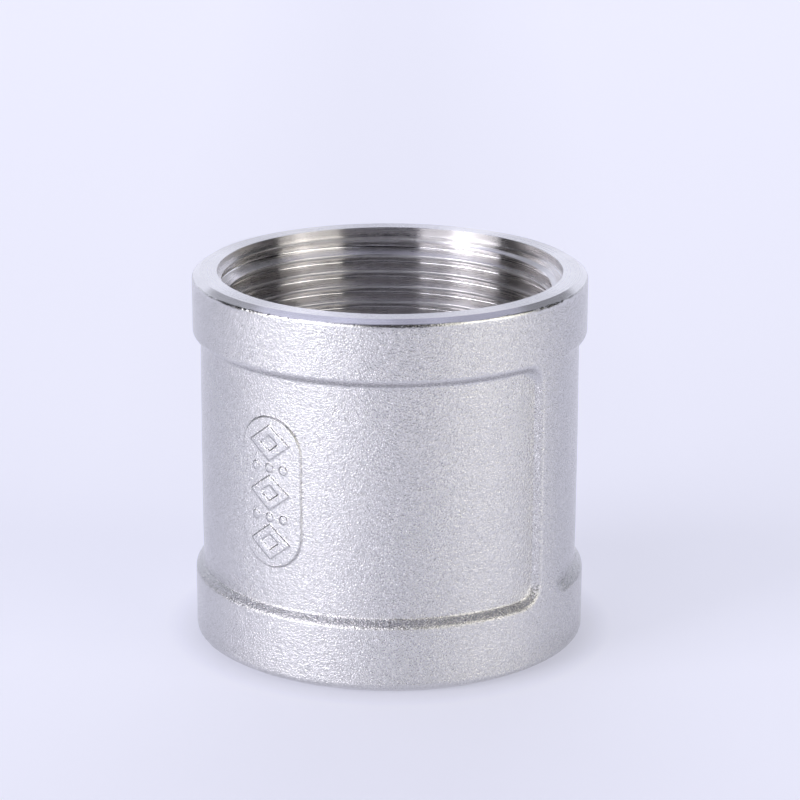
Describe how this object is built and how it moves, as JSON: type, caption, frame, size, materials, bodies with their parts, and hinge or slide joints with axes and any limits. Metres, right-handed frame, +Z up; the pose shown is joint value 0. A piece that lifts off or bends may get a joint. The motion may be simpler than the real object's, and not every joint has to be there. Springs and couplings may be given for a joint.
{
  "type": "pipe coupling",
  "caption": "Banded cast steel pipe coupling: a round sleeve with a raised band at each end, upright ribs and an internal pipe thread from both ends.",
  "frame": {"origin": "on the axis of the bore, in the plane of the lower end face", "axes": "+Z up along the bore axis, towards the upper mouth; -Y towards the front, with the raised pad to the left of it and a rib to the right"},
  "size_m": [0.055, 0.055, 0.0522],
  "materials": {
    "cast_steel": "fine blasted investment-cast skin outside, bright turned metal on the end faces, counterbores and threads"
  },
  "bodies": {
    "root": {"coupling_body": "cast_steel"}
  },
  "joints": []
}
